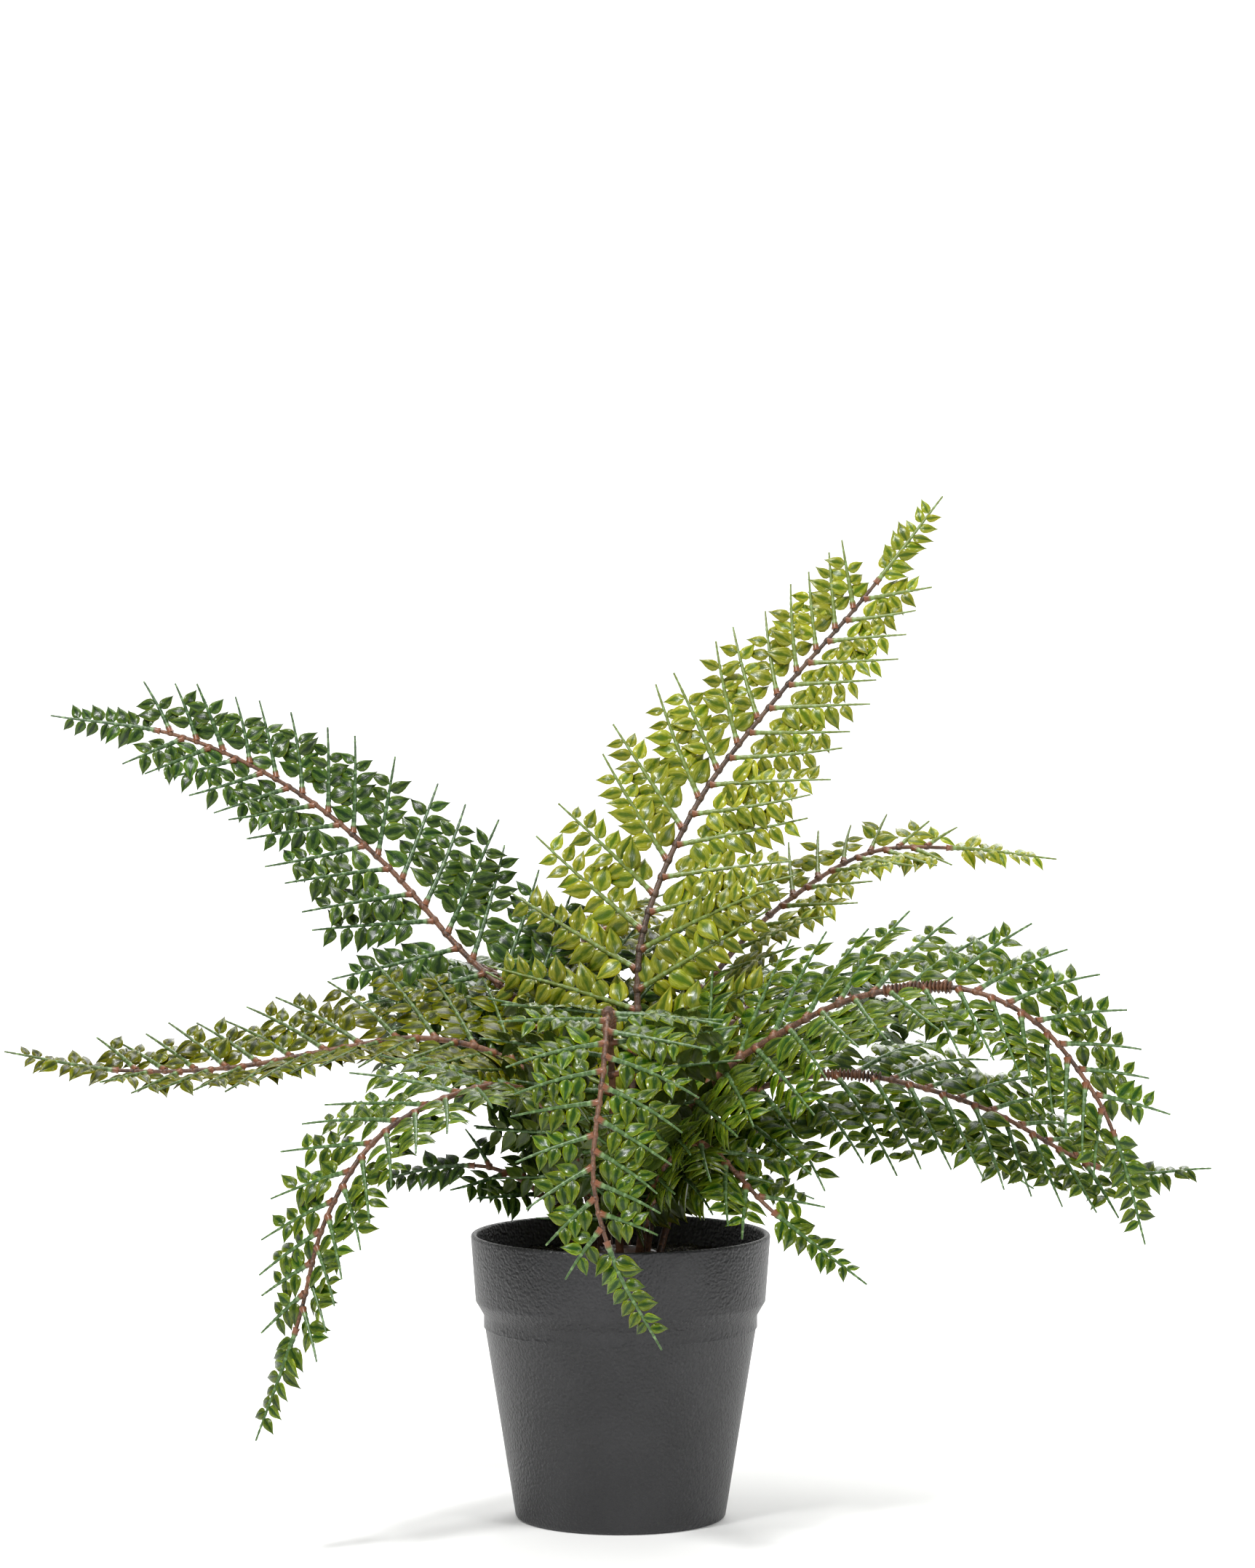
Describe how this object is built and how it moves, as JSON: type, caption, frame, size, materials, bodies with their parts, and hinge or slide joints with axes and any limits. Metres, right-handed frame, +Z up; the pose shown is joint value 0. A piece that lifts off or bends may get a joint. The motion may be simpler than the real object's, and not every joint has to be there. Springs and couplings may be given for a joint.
{
  "type": "artificial fern in a pot",
  "caption": "Round tapered plastic pot filled with dark growing medium, with arching moulded plastic fern fronds springing from a crown in its middle.",
  "frame": {"origin": "centre of the pot's flat base", "axes": "+Z up, -Y towards the front, +X to the right seen from the front"},
  "size_m": [0.5182, 0.3529, 0.4445],
  "materials": {
    "pot": "moulded anthracite plastic with a fine pebbled grain",
    "growing_medium": "dark loose granules",
    "rachis": "moulded red-brown plastic with small collars",
    "leaf_fresh": "moulded yellow-green plastic, satin gloss",
    "leaf_deep": "moulded dark green plastic, satin gloss",
    "leaf_olive": "moulded olive green plastic, satin gloss",
    "leaf_mid": "moulded mid green plastic, satin gloss"
  },
  "bodies": {
    "root": {"pot": "pot", "growing_medium": "growing_medium", "crown": "rachis", "upright_frond_stem": "rachis", "upright_frond_tip": "leaf_fresh", "upright_frond_left_pinnae": "leaf_fresh", "upright_frond_right_pinnae": "leaf_fresh", "upper_left_frond_stem": "rachis", "upper_left_frond_tip": "leaf_deep", "upper_left_frond_left_pinnae": "leaf_deep", "upper_left_frond_right_pinnae": "leaf_deep", "low_left_frond_stem": "rachis", "low_left_frond_tip": "leaf_olive", "low_left_frond_left_pinnae": "leaf_olive", "low_left_frond_right_pinnae": "leaf_olive", "drooping_left_frond_stem": "rachis", "drooping_left_frond_tip": "leaf_mid", "drooping_left_frond_left_pinnae": "leaf_mid", "drooping_left_frond_right_pinnae": "leaf_mid", "front_frond_stem": "rachis", "front_frond_tip": "leaf_mid", "front_frond_left_pinnae": "leaf_mid", "front_frond_right_pinnae": "leaf_mid", "front_right_frond_stem": "rachis", "front_right_frond_tip": "leaf_mid", "front_right_frond_left_pinnae": "leaf_mid", "front_right_frond_right_pinnae": "leaf_mid", "arching_right_frond_stem": "rachis", "arching_right_frond_tip": "leaf_mid", "arching_right_frond_left_pinnae": "leaf_mid", "arching_right_frond_right_pinnae": "leaf_mid", "low_right_frond_stem": "rachis", "low_right_frond_tip": "leaf_mid", "low_right_frond_left_pinnae": "leaf_mid", "low_right_frond_right_pinnae": "leaf_mid", "upper_right_frond_stem": "rachis", "upper_right_frond_tip": "leaf_fresh", "upper_right_frond_left_pinnae": "leaf_fresh", "upper_right_frond_right_pinnae": "leaf_fresh", "young_left_frond_stem": "rachis", "young_left_frond_tip": "leaf_deep", "young_left_frond_left_pinnae": "leaf_deep", "young_left_frond_right_pinnae": "leaf_deep", "back_left_frond_stem": "rachis", "back_left_frond_tip": "leaf_deep", "back_left_frond_left_pinnae": "leaf_deep", "back_left_frond_right_pinnae": "leaf_deep", "back_frond_stem": "rachis", "back_frond_tip": "leaf_olive", "back_frond_left_pinnae": "leaf_olive", "back_frond_right_pinnae": "leaf_olive", "back_right_frond_stem": "rachis", "back_right_frond_tip": "leaf_deep", "back_right_frond_left_pinnae": "leaf_deep", "back_right_frond_right_pinnae": "leaf_deep", "low_back_right_frond_stem": "rachis", "low_back_right_frond_tip": "leaf_mid", "low_back_right_frond_left_pinnae": "leaf_mid", "low_back_right_frond_right_pinnae": "leaf_mid"}
  },
  "joints": []
}
